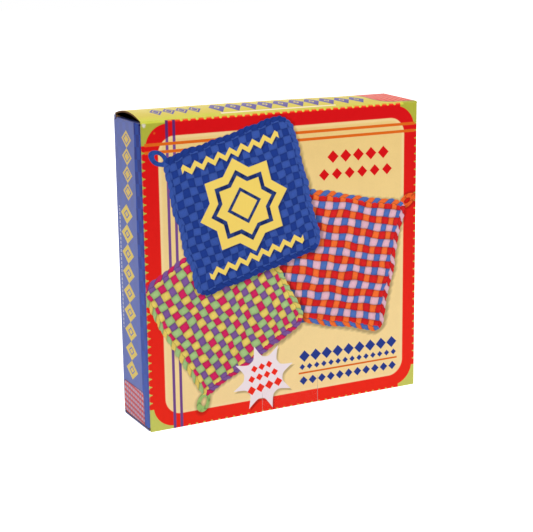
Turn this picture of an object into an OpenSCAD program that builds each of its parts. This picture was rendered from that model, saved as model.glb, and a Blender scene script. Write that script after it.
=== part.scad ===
// Boxed potholder loom kit: a tuck-top carton of thin fluted board that holds
// a square steel loom, cotton loops, a wire hook and a folded leaflet.
// X runs left to right, Y front to back, Z up. The origin is under the middle of the base.

/* [Loom] */
// Side of the square loom over the tips of its pegs
loom_size = 203; // [150:1:260]
// Depth of the loom from the back of its flange to the peg tips
loom_depth = 20; // [14:1:26]
// Width of the flange that lies in the plane of the loom
flange_w = 10; // [7:0.5:16]
// Thickness of the loom's sheet steel
sheet = 0.8; // [0.5:0.1:1.2]
// Outer radius of the bend between flange and wall
bend_r = 1.6; // [1.3:0.1:3]
// Pegs on each side of the loom
pegs = 18; // [8:1:18]
// Width of a peg
peg_w = 5; // [3.5:0.1:6]
// Distance from peg to peg
peg_pitch = 10; // [7.5:0.1:10.4]
// Length of a peg from its root to its tip
peg_len = 13; // [6:0.5:15]
// Outer radius of the outward curl at a peg's tip
curl_r = 2.5; // [1.4:0.1:3.5]
// Diameter of the corner rivets
rivet_d = 3; // [2:0.1:4]
// Diameter of a rivet's domed head
rivet_head_d = 5.5; // [4.5:0.1:7]
// Height of a rivet's domed head
rivet_head_h = 1.2; // [0.8:0.1:2]
// Thickness of a rivet's flat foot
rivet_foot_h = 0.4; // [0.3:0.1:0.8]

/* [Cotton loops] */
// Thickness of the knitted tube
loop_d = 4.4; // [3:0.1:6]
// Length of a loop laid flat
loop_len = 125; // [80:1:140]
// Width of a loop laid flat
loop_w = 15; // [11:0.5:15.2]
// Columns of loops across the carton
loop_columns = 10; // [6:1:10]
// Layers of loops from back to front
loop_layers = 8; // [4:1:8]
// Room between one layer or column and the next
loop_gap = 0.2; // [0.1:0.05:0.5]

/* [Hook] */
// Diameter of the hook's wire
hook_d = 3; // [2:0.1:4]
// Length of the hook's straight shank
hook_shank = 118; // [60:1:140]
// Radius of the bend at the hook's tip, to the wire's middle
hook_bend_r = 3.2; // [2.6:0.1:5]
// Radius of the finger ring, to the wire's middle
hook_ring_r = 9; // [6:0.5:12]

/* [Leaflet] */
// Width of the folded leaflet
leaflet_w = 140; // [80:1:160]
// Height of the folded leaflet
leaflet_h = 180; // [100:1:190]
// Thickness of the leaflet's paper
paper = 0.25; // [0.15:0.05:0.35]
// Outside radius of the leaflet's fold
leaflet_fold_r = 0.5; // [0.4:0.05:0.6]

/* [Carton] */
// Thickness of the fluted board
board = 1.2; // [0.8:0.1:1.5]
// Outer radius of a crease
crease_r = 1.6; // [1.55:0.05:2.2]
// Room between the loom and each side panel
side_room = 5.3; // [3:0.1:12]
// Room over the loom, under the dust flaps
head_room = 5.7; // [3:0.1:20]
// Spare depth between the leaflet and the base tab
depth_room = 0.4; // [0.3:0.1:6]
// Rise of the lid's arch at its left end
lid_rise_left = 3.6; // [0:0.1:6]
// Rise of the lid's arch at its right end
lid_rise_right = 0; // [0:0.1:6]
// How far the lid's rear crease stands above its front crease
lid_lift = 1.4; // [0:0.1:2]
// Length of the tuck tabs
tab_len = 16; // [10:0.5:16]
// Lean of the lid's tuck tab towards the front, in degrees
tab_lean = 7; // [7:0.5:10]
// Lean of the base's tuck tab towards the back, in degrees
base_tab_lean = 1; // [0:0.5:1]
// Radius of the corners of a tuck tab
tab_corner_r = 9; // [4:0.5:10]
// How much narrower a tuck tab is than the carton, at each end
tab_inset = 3; // [2:0.5:10]
// Length of a dust flap from the side panel's face to its tip
flap_len = 42; // [25:1:48]
// Slant of a dust flap's front edge, in degrees
flap_front_slant = 23; // [23:0.5:26]
// Slant of a dust flap's rear edge, in degrees
flap_rear_slant = 10; // [8:0.5:14]
// Distance of a dust flap's front edge behind the front face, at its crease
flap_front_inset = 2.2; // [2:0.1:4]
// Distance of a dust flap's rear edge ahead of the back face, at its crease
flap_rear_inset = 5.2; // [5:0.1:8]
// Radius of the corners at a dust flap's tip
flap_corner_r = 4; // [2:0.5:5]
// Width of the glue flap inside the right side panel
glue_flap_w = 14; // [8:0.5:18]
// How much shorter the glue flap is at each end
glue_flap_inset = 4; // [3.5:0.5:10]

/* [Tape] */
// Width of the tape seal
tape_w = 45.5; // [20:0.5:80]
// How far the tape's middle lies right of the carton's middle
tape_x = 1.25; // [-40:0.25:40]
// Height of the tape on the front panel
tape_up = 20; // [10:0.5:40]
// Length of the tape under the base
tape_under = 22; // [10:0.5:30]
// Thickness of the tape, pressed flush into the board
tape_t = 0.15; // [0.1:0.05:0.3]

/* [Clearances] */
// Between the tuck crease and the panel that it tucks behind
tuck_gap = 0.4; // [0.4:0.05:0.6]
// Between pieces of board that lie on one another
leaf_gap = 0.2; // [0.15:0.05:0.4]
// Between the halves of a crease that folds
crease_gap = 0.06; // [0.04:0.01:0.1]
// Between the lid and each side face
lid_inset = 0.5; // [0.3:0.1:1.5]
// Between a piece inside and what it rests on
seat_gap = 0.2; // [0.1:0.05:0.3]
// Between a rivet and its hole, on the radius
rivet_gap = 0.05; // [0.03:0.01:0.1]

/* [Hidden] */
$fn = 48;
eps = 0.01;
loop_colours = 8;

// the stack from back to front sets the carton's depth
tab_room = tuck_gap + board + (tab_len - crease_r) * sin(tab_lean) + seat_gap;
loom_back_room = tab_room + rivet_foot_h + rivet_gap;
lap = sheet + rivet_gap;
layer_pitch = loop_d + loop_gap;
column_pitch = loop_w + 2 * loop_gap;
loops_depth = loop_layers * layer_pitch;
leaflet_t = 2 * leaflet_fold_r;
base_tab_room = tuck_gap + board + tab_len * sin(base_tab_lean);
box_d = 2 * board + loom_back_room + 2 * lap + loops_depth + leaflet_t + depth_room + base_tab_room;

// the loom's size sets the carton's width and height
flap_pack = 2 * board + leaf_gap;
box_w = loom_size + 2 * (side_room + board);
box_h = loom_size + 2 * (flap_pack + seat_gap) + head_room;

front_y = -box_d / 2;
back_y = box_d / 2;
left_x = -box_w / 2;
right_x = box_w / 2;

// carton heights
flap_top_z = box_h - board - leaf_gap;
floor_z = flap_pack + seat_gap;
crease_in_r = crease_r - board;
tuck_y = back_y - board - tuck_gap;
base_tuck_y = front_y + board + tuck_gap;
lid_w = box_w - 2 * lid_inset;
tab_w = box_w - 2 * tab_inset;
flap_front_y = front_y + flap_front_inset;
flap_rear_y = back_y - flap_rear_inset;
glue_x = right_x - board;

// loom places
loom_y = back_y - board - loom_back_room;
wall_in = loom_size / 2 - curl_r;
loom_z = floor_z + loom_size / 2;
rivet_off = wall_in - flange_w / 2;
peg_tip_y = -loom_depth;
peg_root_y = peg_tip_y + peg_len;

// loops, hook and leaflet
loops_back_y = loom_y - 2 * lap;
rail_seat_z = floor_z + curl_r + seat_gap;
hook_z = rail_seat_z + loop_len + hook_d / 2 + seat_gap;
hook_y = loops_back_y - 2 * layer_pitch;
leaflet_y = loops_back_y - loops_depth - leaflet_t / 2;

crease_gap_angle = crease_gap / crease_r * 180 / PI;
lid_stations = 14;
lid_arch_steps = 16;
lid_settling = 4;
crease_steps = 4;

// part of a crease's ring between two angles, as a flat section
module crease_arc(from, to) {
    reach = 2 * crease_r;
    mid = (from + to) / 2;
    intersection() {
        difference() {
            circle(r = crease_r);
            circle(r = crease_in_r);
        }
        polygon([[0, 0],
            [reach * cos(from), reach * sin(from)],
            [reach * cos(mid), reach * sin(mid)],
            [reach * cos(to), reach * sin(to)]]);
    }
}

// a flat section in Y and Z, stretched along X about the middle
module along_x(length) {
    translate([-length / 2, 0, 0])
        rotate([90, 0, 90])
            linear_extrude(length)
                children();
}

// a flat section in X and Z, stretched along Y from y0 to y1
module along_y(y0, y1) {
    translate([0, y1, 0])
        rotate([90, 0, 0])
            linear_extrude(y1 - y0)
                children();
}

// plan of the sleeve's ring of board
module sleeve_plan() {
    module rounded(w, d, r) {
        square([w - 2 * r, d], center = true);
        square([w, d - 2 * r], center = true);
        for (sx = [-1, 1], sy = [-1, 1])
            translate([sx * (w / 2 - r), sy * (d / 2 - r)])
                circle(r = r);
    }
    difference() {
        rounded(box_w, box_d, crease_r);
        rounded(box_w - 2 * board, box_d - 2 * board, crease_in_r);
    }
}

// mitred sector of the plan that belongs to the front panel
module front_sector() {
    polygon([[left_x, front_y], [right_x, front_y], [right_x - box_d / 2, 0], [left_x + box_d / 2, 0]]);
}

// mitred sector of the plan that belongs to the left side panel
module left_sector() {
    polygon([[left_x, front_y], [left_x + box_d / 2, 0], [left_x, back_y]]);
}

module tape_solid() {
    x0 = tape_x - tape_w / 2;
    translate([x0, front_y, 0])
        cube([tape_w, tape_t, tape_up]);
    translate([x0, front_y, 0])
        cube([tape_w, tape_under, tape_t]);
}

module front_panel() {
    color("crimson")
        difference() {
            union() {
                linear_extrude(box_h - crease_r)
                    intersection() {
                        sleeve_plan();
                        front_sector();
                    }
                along_x(lid_w)
                    translate([front_y + crease_r, box_h - crease_r])
                        crease_arc(135, 180);
            }
            tape_solid();
        }
}

module back_panel() {
    turn_x = glue_x - leaf_gap - crease_r;
    color("tan") {
        translate([0, 0, crease_r])
            linear_extrude(box_h - leaf_gap - crease_r) {
                intersection() {
                    sleeve_plan();
                    polygon([[left_x, back_y], [left_x + box_d / 2, 0], [0, 0], [0, back_y]]);
                }
                translate([0, back_y - board])
                    square([turn_x, board]);
                translate([turn_x, back_y - crease_r])
                    crease_arc(45, 90);
            }
        along_x(lid_w)
            translate([back_y - crease_r, crease_r])
                crease_arc(315, 360);
    }
}

// the board turns the corner and is glued inside the right side panel
module glue_flap() {
    color("tan")
        translate([0, 0, glue_flap_inset])
            linear_extrude(box_h - 2 * glue_flap_inset) {
                translate([glue_x - leaf_gap - crease_r, back_y - crease_r])
                    crease_arc(0, 45);
                translate([glue_x - leaf_gap - board, back_y - crease_r - glue_flap_w])
                    square([board, glue_flap_w + eps]);
            }
}

// upright half of the crease that carries a dust flap, in X and Z, at the left
module side_crease(z_centre, from, to) {
    along_y(flap_front_y, flap_rear_y)
        translate([left_x + crease_r, z_centre])
            crease_arc(from, to);
}

module left_side_panel() {
    base_z = board + leaf_gap;
    color("slateblue") {
        translate([0, 0, base_z + crease_r])
            linear_extrude(flap_top_z - base_z - 2 * crease_r)
                intersection() {
                    sleeve_plan();
                    left_sector();
                }
        side_crease(flap_top_z - crease_r, 135, 180);
        side_crease(base_z + crease_r, 180, 225);
    }
}

module right_side_panel() {
    base_z = board + leaf_gap;
    color("slateblue") {
        translate([0, 0, base_z + crease_r])
            linear_extrude(flap_top_z - base_z - 2 * crease_r) {
                mirror([1, 0])
                    intersection() {
                        sleeve_plan();
                        left_sector();
                        translate([left_x, front_y])
                            square([box_d, box_d / 2]);
                    }
                translate([glue_x, 0])
                    square([board, back_y - leaf_gap]);
            }
        mirror([1, 0, 0]) {
            side_crease(flap_top_z - crease_r, 135, 180);
            side_crease(base_z + crease_r, 180, 225);
        }
    }
}

// height of the lid's arch over the chord between its creases, at x; it settles near the right end
function lid_rise(x) =
    lid_rise_left + (lid_rise_right - lid_rise_left) * pow((x - left_x) / box_w, lid_settling);

// height of the lid's face over its front crease, at x, for s from -1 at the front to 1 at the rear
function lid_height(x, s) = lid_rise(x) * (1 - s * s) + lid_lift * (1 + s) / 2;

// the lid's section at x: outer face from front crease to rear crease, then back along the inner face
function lid_section(x) =
    let (
        y0 = front_y + crease_r,
        y1 = tuck_y - crease_r,
        zc = box_h - crease_r,
        rear_zc = zc + lid_lift,
        half = (y1 - y0) / 2,
        turn = 45 / crease_steps,
        front_out = [for (i = [0 : crease_steps - 1]) let (a = 135 - crease_gap_angle - i * turn)
            [y0 + crease_r * cos(a), zc + crease_r * sin(a)]],
        arch_out = [for (i = [0 : lid_arch_steps]) let (s = 2 * i / lid_arch_steps - 1)
            [y0 + half * (1 + s), box_h + lid_height(x, s)]],
        rear_out = [for (i = [crease_steps - 1 : -1 : 0]) let (a = 45 + crease_gap_angle + i * turn)
            [y1 + crease_r * cos(a), rear_zc + crease_r * sin(a)]],
        rear_in = [for (i = [0 : crease_steps - 1]) let (a = 45 + crease_gap_angle + i * turn)
            [y1 + crease_in_r * cos(a), rear_zc + crease_in_r * sin(a)]],
        arch_in = [for (i = [lid_arch_steps : -1 : 0]) let (s = 2 * i / lid_arch_steps - 1)
            [y0 + half * (1 + s), box_h - board + lid_height(x, s)]],
        front_in = [for (i = [crease_steps - 1 : -1 : 0]) let (a = 135 - crease_gap_angle - i * turn)
            [y0 + crease_in_r * cos(a), zc + crease_in_r * sin(a)]]
    )
    concat(front_out, arch_out, rear_out, rear_in, arch_in, front_in);

// skin a row of equal sections into one closed solid
module loft(sections) {
    n = len(sections[0]);
    m = len(sections);
    polyhedron(
        points = [for (section = sections) each section],
        faces = concat(
            [[for (i = [0 : n - 1]) i]],
            [for (j = [0 : m - 2], i = [0 : n - 1])
                let (k = (i + 1) % n)
                [j * n + i, (j + 1) * n + i, (j + 1) * n + k, j * n + k]],
            [[for (i = [n - 1 : -1 : 0]) (m - 1) * n + i]]));
}

module lid_panel() {
    xs = [for (i = [0 : lid_stations]) -lid_w / 2 + lid_w * i / lid_stations];
    color("gold")
        loft([for (x = xs) [for (p = lid_section(x)) [x, p[0], p[1]]]]);
}

// flat tuck tab hanging from its crease, whose centre is the local origin; it faces +Y
module hanging_tab(lean, bend) {
    drop = tab_len - crease_r;
    along_x(tab_w)
        crease_arc(0, bend);
    translate([0, crease_r, 0])
        rotate([90, 0, 0])
            linear_extrude(board)
                intersection() {
                    union() {
                        translate([tab_corner_r - tab_w / 2, -drop])
                            square([tab_w - 2 * tab_corner_r, drop]);
                        translate([-tab_w / 2, tab_corner_r - drop])
                            square([tab_w, drop]);
                        for (sx = [-1, 1])
                            translate([sx * (tab_w / 2 - tab_corner_r), tab_corner_r - drop])
                                circle(r = tab_corner_r);
                    }
                    translate([-tab_w / 2, -drop])
                        square([tab_w, drop]);
                }
}

module tuck_tab() {
    color("gold")
        translate([0, tuck_y - crease_r, box_h - crease_r + lid_lift])
            rotate([-tab_lean, 0, 0])
                hanging_tab(tab_lean, 45 + tab_lean - crease_gap_angle);
}

module base_tuck_tab() {
    color("tan")
        translate([0, base_tuck_y + crease_r, crease_r])
            rotate([-base_tab_lean, 0, 0])
                rotate([180, 0, 0])
                    hanging_tab(base_tab_lean, 45 + base_tab_lean);
}

// plan of the dust flap at the left, with a slanted front and rear edge
module dust_flap_outline() {
    root_x = left_x + crease_r;
    tip_x = left_x + flap_len;
    reach = flap_len - crease_r;
    tip_front_y = flap_front_y + reach * tan(flap_front_slant);
    tip_rear_y = flap_rear_y - reach * tan(flap_rear_slant);
    front_corner = [tip_x - flap_corner_r,
        tip_front_y - flap_corner_r * tan(flap_front_slant) + flap_corner_r / cos(flap_front_slant)];
    rear_corner = [tip_x - flap_corner_r,
        tip_rear_y + flap_corner_r * tan(flap_rear_slant) - flap_corner_r / cos(flap_rear_slant)];
    front_touch = front_corner + flap_corner_r * [sin(flap_front_slant), -cos(flap_front_slant)];
    rear_touch = rear_corner + flap_corner_r * [sin(flap_rear_slant), cos(flap_rear_slant)];
    polygon([[root_x, flap_front_y], front_touch, front_corner, [tip_x, front_corner[1]],
        [tip_x, rear_corner[1]], rear_corner, rear_touch, [root_x, flap_rear_y]]);
    translate(front_corner)
        circle(r = flap_corner_r);
    translate(rear_corner)
        circle(r = flap_corner_r);
}

module dust_flap() {
    translate([0, 0, flap_top_z - board])
        linear_extrude(board)
            dust_flap_outline();
    side_crease(flap_top_z - crease_r, 90, 135 - crease_gap_angle);
}

module left_dust_flap() {
    color("royalblue")
        dust_flap();
}

module right_dust_flap() {
    color("royalblue")
        mirror([1, 0, 0])
            dust_flap();
}

module base_dust_flap() {
    translate([0, 0, board + leaf_gap])
        linear_extrude(board)
            dust_flap_outline();
    side_crease(board + leaf_gap + crease_r, 225, 270);
}

module base_left_dust_flap() {
    color("tan")
        base_dust_flap();
}

module base_right_dust_flap() {
    color("tan")
        mirror([1, 0, 0])
            base_dust_flap();
}

module base_panel() {
    y0 = base_tuck_y + crease_r;
    y1 = back_y - crease_r;
    color("tan")
        difference() {
            along_x(lid_w) {
                translate([y0, 0])
                    square([y1 - y0, board]);
                translate([y1, crease_r])
                    crease_arc(270, 315);
                translate([y0, crease_r])
                    crease_arc(225, 270);
            }
            tape_solid();
        }
}

module tape_seal() {
    color("white", 0.4)
        tape_solid();
}

// bent section of a rail in Y and Z: Y = 0 is the flange's back, Z = 0 the wall's inner face
module rail_profile(back) {
    translate([back - sheet, -flange_w])
        square([sheet, flange_w + sheet - bend_r]);
    translate([back - bend_r, sheet - bend_r])
        intersection() {
            difference() {
                circle(r = bend_r);
                circle(r = bend_r - sheet);
            }
            square(bend_r);
        }
    translate([peg_tip_y + curl_r, 0])
        square([back - bend_r - peg_tip_y - curl_r, sheet]);
    translate([peg_tip_y + curl_r, curl_r])
        intersection() {
            difference() {
                circle(r = curl_r);
                circle(r = curl_r - sheet);
            }
            translate([-curl_r, -curl_r])
                square(curl_r);
        }
}

// comb outline of a rail in X and Y: pegs with round ends and round roots
module comb_outline(length) {
    gap_r = (peg_pitch - peg_w) / 2;
    difference() {
        translate([-length / 2, peg_root_y])
            square([length, -peg_root_y]);
        for (i = [0 : pegs])
            translate([(i - pegs / 2) * peg_pitch, peg_root_y])
                circle(r = gap_r);
    }
    for (i = [0 : pegs - 1])
        translate([(i - (pegs - 1) / 2) * peg_pitch, peg_tip_y + peg_w / 2]) {
            translate([-peg_w / 2, 0])
                square([peg_w, peg_len - peg_w / 2 + sheet]);
            circle(d = peg_w);
        }
}

// rail lying along X, under the frame's middle, with its flange's back at y = back
module rail(length, back) {
    difference() {
        intersection() {
            along_x(length)
                mirror([0, 1])
                    rail_profile(back);
            translate([0, 0, -curl_r])
                linear_extrude(curl_r + flange_w + sheet)
                    comb_outline(length);
        }
        for (sx = [-1, 1])
            translate([sx * rivet_off, sheet, flange_w / 2])
                rotate([90, 0, 0])
                    cylinder(d = rivet_d + 2 * rivet_gap, h = 2 * sheet + 2 * lap);
    }
}

// puts a rail, drawn as the lower one, at one of the four sides
module on_side(turn) {
    translate([0, loom_y, loom_z])
        rotate([0, turn, 0])
            translate([0, 0, -wall_in])
                children();
}

module long_rail() {
    rail(2 * (wall_in + sheet), 0);
}

module short_rail() {
    rail(2 * (wall_in - bend_r + sheet), -lap);
}

module loom_rail_bottom() {
    color("silver")
        on_side(0)
            long_rail();
}

module loom_rail_top() {
    color("silver")
        on_side(180)
            long_rail();
}

module loom_rail_left() {
    color("silver")
        on_side(90)
            short_rail();
}

module loom_rail_right() {
    color("silver")
        on_side(-90)
            short_rail();
}

// rivet along Y, its foot against the back of the flange at y = 0
module rivet() {
    dome_r = (pow(rivet_head_d / 2, 2) + pow(rivet_head_h, 2)) / (2 * rivet_head_h);
    grip = lap + sheet + rivet_gap;
    rotate([90, 0, 0])
        rotate_extrude() {
            translate([0, -rivet_foot_h - rivet_gap])
                square([rivet_head_d / 2, rivet_foot_h]);
            translate([0, -rivet_gap - eps])
                square([rivet_d / 2, grip + rivet_gap + 2 * eps]);
            translate([0, grip])
                intersection() {
                    translate([0, rivet_head_h - dome_r])
                        circle(r = dome_r);
                    square([rivet_head_d / 2, rivet_head_h]);
                }
        }
}

module loom_rivets() {
    color("gray")
        for (sx = [-1, 1], sz = [-1, 1])
            translate([sx * rivet_off, loom_y, loom_z + sz * rivet_off])
                rivet();
}

// one knitted loop, flattened to a long ring that stands on z = 0
module cotton_loop() {
    $fn = 20;
    ring_r = (loop_w - loop_d) / 2;
    straight = loop_len - loop_w;
    for (sx = [-1, 1])
        translate([sx * ring_r, 0, loop_w / 2])
            cylinder(d = loop_d, h = straight);
    for (turn = [0, 180])
        translate([0, 0, loop_w / 2 + straight / 2])
            rotate([0, turn, 0])
                translate([0, 0, straight / 2])
                    rotate([90, 0, 0])
                        rotate_extrude(angle = 180)
                            translate([ring_r, 0])
                                circle(d = loop_d);
}

// all the loops of one colour, which run slantwise through the stack
module loops(colour_index) {
    for (layer = [0 : loop_layers - 1], column = [0 : loop_columns - 1])
        if ((layer + column) % loop_colours == colour_index) {
            y = loops_back_y - (layer + 0.5) * layer_pitch;
            over_rail = y + loop_d / 2 > loom_y + peg_tip_y;
            z = over_rail ? rail_seat_z : floor_z;
            translate([(column - (loop_columns - 1) / 2) * column_pitch, y, z])
                cotton_loop();
        }
}

module loops_blue() {
    color("royalblue")
        loops(0);
}

module loops_purple() {
    color("mediumpurple")
        loops(1);
}

module loops_magenta() {
    color("mediumvioletred")
        loops(2);
}

module loops_lime() {
    color("yellowgreen")
        loops(3);
}

module loops_yellow() {
    color("khaki")
        loops(4);
}

module loops_red() {
    color("crimson")
        loops(5);
}

module loops_orange() {
    color("darkorange")
        loops(6);
}

module loops_pink() {
    color("pink")
        loops(7);
}

// wire hook along X: finger ring at the left, open hook at the right
module hook() {
    color("silver")
        translate([-hook_shank / 2, hook_y, hook_z]) {
            rotate([0, 90, 0])
                cylinder(d = hook_d, h = hook_shank);
            translate([-hook_ring_r, 0, 0])
                rotate_extrude()
                    translate([hook_ring_r, 0])
                        circle(d = hook_d);
            translate([hook_shank, -hook_bend_r, 0]) {
                rotate([0, 0, -90])
                    rotate_extrude(angle = 180)
                        translate([hook_bend_r, 0])
                            circle(d = hook_d);
                translate([0, -hook_bend_r, 0])
                    rotate([0, -90, 0])
                        cylinder(d1 = hook_d, d2 = hook_d * 0.6, h = 2 * hook_bend_r);
            }
        }
}

// leaflet of two leaves joined at the left by a fold
module leaflet() {
    color("ivory")
        translate([-leaflet_w / 2, leaflet_y, board + seat_gap])
            linear_extrude(leaflet_h) {
                translate([leaflet_fold_r, 0])
                    intersection() {
                        difference() {
                            circle(r = leaflet_fold_r);
                            circle(r = leaflet_fold_r - paper);
                        }
                        translate([-leaflet_fold_r, -leaflet_fold_r])
                            square([leaflet_fold_r, 2 * leaflet_fold_r]);
                    }
                for (y = [-leaflet_fold_r, leaflet_fold_r - paper])
                    translate([leaflet_fold_r, y])
                        square([leaflet_w - leaflet_fold_r, paper]);
            }
}

front_panel();
back_panel();
left_side_panel();
right_side_panel();
glue_flap();
lid_panel();
tuck_tab();
left_dust_flap();
right_dust_flap();
base_panel();
base_tuck_tab();
base_left_dust_flap();
base_right_dust_flap();
tape_seal();
loom_rail_top();
loom_rail_bottom();
loom_rail_left();
loom_rail_right();
loom_rivets();
hook();
loops_blue();
loops_purple();
loops_magenta();
loops_lime();
loops_yellow();
loops_red();
loops_orange();
loops_pink();
leaflet();
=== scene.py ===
import math
import random

import bmesh
import bpy
from mathutils import Matrix, Vector


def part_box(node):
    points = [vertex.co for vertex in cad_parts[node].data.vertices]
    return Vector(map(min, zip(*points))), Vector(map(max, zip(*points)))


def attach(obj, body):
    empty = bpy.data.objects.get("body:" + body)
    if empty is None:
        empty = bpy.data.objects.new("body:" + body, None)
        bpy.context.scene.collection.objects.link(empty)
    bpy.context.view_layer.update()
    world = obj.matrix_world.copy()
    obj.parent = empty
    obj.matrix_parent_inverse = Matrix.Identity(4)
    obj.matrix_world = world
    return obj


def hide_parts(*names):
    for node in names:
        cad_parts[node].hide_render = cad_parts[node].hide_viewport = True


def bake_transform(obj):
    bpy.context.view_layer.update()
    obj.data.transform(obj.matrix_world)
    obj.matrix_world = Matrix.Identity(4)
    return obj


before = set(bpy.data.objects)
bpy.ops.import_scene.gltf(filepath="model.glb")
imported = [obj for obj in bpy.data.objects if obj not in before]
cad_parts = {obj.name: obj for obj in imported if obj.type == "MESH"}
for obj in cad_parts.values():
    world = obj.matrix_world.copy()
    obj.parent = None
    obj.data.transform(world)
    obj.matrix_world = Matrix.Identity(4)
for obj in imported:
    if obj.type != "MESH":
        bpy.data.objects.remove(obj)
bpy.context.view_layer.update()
random.seed(12)

# Sizes of the carton, read from the frame, in metres
front_lo, front_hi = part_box("front_panel")
back_lo, back_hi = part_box("back_panel")
BOX_W = front_hi.x - front_lo.x
BOX_D = back_hi.y - front_lo.y
BOX_H = front_hi.z
HALF_D = BOX_D / 2
MIDDLE = Vector((0, 0, BOX_H / 2))

# The same in millimetres, as the print and the materials are laid out
MM = 1000.0
FRONT_W = BOX_W * MM
FRONT_H = BOX_H * MM
HALF_DEPTH = HALF_D * MM

# Fluted board, in millimetres: its thickness, the pitch of its waves, and where its inner face lies
# in the tab and in the dust flaps
BOARD = 1.2
FLUTE_PITCH = 2.3
TAB_INNER_Y = 18.0
FLAP_UNDER_Z = 211.7

# The clear tape, in millimetres: middle, half sizes and corner radius, and the heights it fades between
tape_lo, tape_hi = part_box("tape_seal")
TAPE_X = (tape_lo.x + tape_hi.x) / 2 * MM
TAPE_HALF = (tape_hi.x - tape_lo.x) / 2 * MM
TAPE_OUTLINE = ((TAPE_X, 10.0), (TAPE_HALF, 60.0), 0.5)
TAPE_FADE = (14.0, 11.0)

# Bent creases and the thin liners that bridge them, in metres
CREASE_R = 0.0016
TUCK_Y = HALF_D - CREASE_R
LID_LIFT = 0.0014
LINER_HALF = 0.00012
LINER_STEPS = 12
LINER_COLUMNS = 24
LINER_INSET = 0.0004
TAB_LINER_INSET = 0.001

# Radius and tail of each liner, in metres
LID_LINER = (0.0011, 0.0006)
TUCK_LINER = (0.00125, 0.0004)
FLAP_LINER = (0.0008, 0.0005)

# Board's roughness, bare and printed, and how far a raw edge's normal leans along the board
KRAFT_ROUGHNESS = 0.88
PRINT_ROUGHNESS = 0.4
EDGE_NORMAL = 0.72

# Soft cotton rings: sides and steps of the tube, its drift and swell, in metres, and its stitches, in mm
LOOP_SIDES = 10
LOOP_ARC_STEPS = 10
LOOP_STRAIGHT_STEPS = 20
LOOP_WANDER = 0.00025
LOOP_FILL = (0.98, 0.97)
KNIT_PITCH = 0.0035
KNIT_SWELL = 0.025
WANDER_TURNS = 1.15
STITCH_WIDE = 2.0
STITCH_LONG = 1.7

# Points of a CAD node that are nearer than this, in metres, count as one
WELD = 1e-5

# The photograph's camera, fitted to the box's corners
IMAGE_W = 533
IMAGE_H = 532
SENSOR = 36.0
AZIMUTH = 27.436
ELEVATION = 12.917
ROLL = -0.696
FOCAL_PIXELS = 1368.7
DISTANCE = 0.9854
AXIS_X = 271.6
AXIS_Y = 256.2

# Round studio lamps: name, place, size in metres and power in watts
LAMPS = (
    ("key", (0.75, -1.35, 1.0), 0.9, 14.0),
    ("top", (-0.1, 0.1, 1.7), 1.2, 6.6),
    ("fill", (-1.6, -0.7, 0.6), 1.2, 4.8),
    ("rear", (0.4, 1.5, 0.9), 1.2, 5.0))

# Strength of the white surround, and the floor's half width in metres, its grey and its glow
SURROUND = 0.36
FLOOR_REACH = 6.0
FLOOR_GREY = 0.82
FLOOR_GLOW = 0.95

# Colours of the print, as written in sRGB
# Red, cream, lime and purple run lighter towards the foot of the front: partly the print, partly painted
# light from below
RED_TOP = (216, 8, 16)
RED_LOW = (244, 44, 28)
# Red print on the top crease and on the lid's dashes, made lighter as a painted highlight
RED_CREASE_HIGHLIGHT = (250, 46, 28)
NAVY = (38, 60, 142)
ORANGE = (224, 104, 24)
CREAM_TOP = (237, 203, 130)
CREAM_LOW = (254, 226, 164)
PURPLE = (118, 76, 144)
LIME = (176, 178, 60)
LIME_LID = (214, 216, 74)
YELLOW_LID = (222, 202, 84)
LID_PURPLE = (98, 84, 152)
DEEP_BLUE = (28, 57, 138)
MID_BLUE = (56, 86, 168)
SIDE_DARK = (0, 34, 134)
SIDE_LIGHT = (0, 70, 184)
VEIL = (136, 147, 210)
DEEP_VEIL = (84, 112, 206)
KRAFT = (176, 137, 94)
# The flutes' hollows on cut edges are painted dark as shade
FLUTE_HOLLOW_SHADE = (58, 40, 26)
FLUTE_PALE = (128, 96, 66)

# Colours of single features
# LIME_LOW is the lime at the foot, lighter partly as painted light from below
LIME_LOW = (206, 210, 104)
FIELD_EDGE = (255, 232, 184)
PURPLE_ON_RED = (92, 40, 106)
STAR_YELLOW = (248, 216, 106)
BURST_WHITE = (246, 234, 240)
CHAIN_PALE = (248, 214, 118)
CHAIN_YELLOW = (255, 224, 120)
DASH_WHITE = (226, 226, 240)
RULE_WHITE = (252, 236, 204)
SIDE_SEAM = (70, 40, 90)
LID_SEAM = (104, 44, 92)
# Pale paper on the rounded creases: partly wear, partly a painted highlight
WORN_PAPER_HIGHLIGHT = (246, 226, 206)
TORN_PAPER = (226, 218, 214)
KRAFT_PALE = (188, 150, 106)
KRAFT_FLECK = (120, 84, 50)
COTTON_FUZZ = (255, 246, 232)
TAPE_WHITE = (252, 250, 244)
TAPE_GREY = (240, 236, 226)
RAIL_STEEL = (176, 179, 184)
RIVET_STEEL = (160, 163, 168)
HOOK_STEEL = (184, 187, 192)

# Colours of woven cloth: two that take turns in the weft, then two in the warp
MULTI_STRANDS = ((234, 208, 104), (166, 200, 132), (212, 36, 96), (126, 86, 156))
CHECK_STRANDS = ((216, 32, 34), (230, 182, 198), (78, 112, 186), (246, 112, 48))
CHECK_LOOP = (240, 96, 36)
MULTI_LOOP = (160, 200, 116)
BLUE_LOOP = (40, 76, 156)

# Colours of fine check: the ground and the two stripes
SIDE_CHECK = ((236, 90, 68), (246, 190, 192), (120, 134, 204))
LID_CHECK = ((232, 70, 44), (252, 146, 112), (206, 88, 112))

LOOP_COLOURS = {
    "blue": (52, 84, 168), "purple": (120, 88, 160), "magenta": (214, 48, 104), "lime": (160, 196, 84),
    "yellow": (240, 208, 92), "red": (206, 30, 34), "orange": (240, 122, 48), "pink": (232, 156, 184)}

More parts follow.
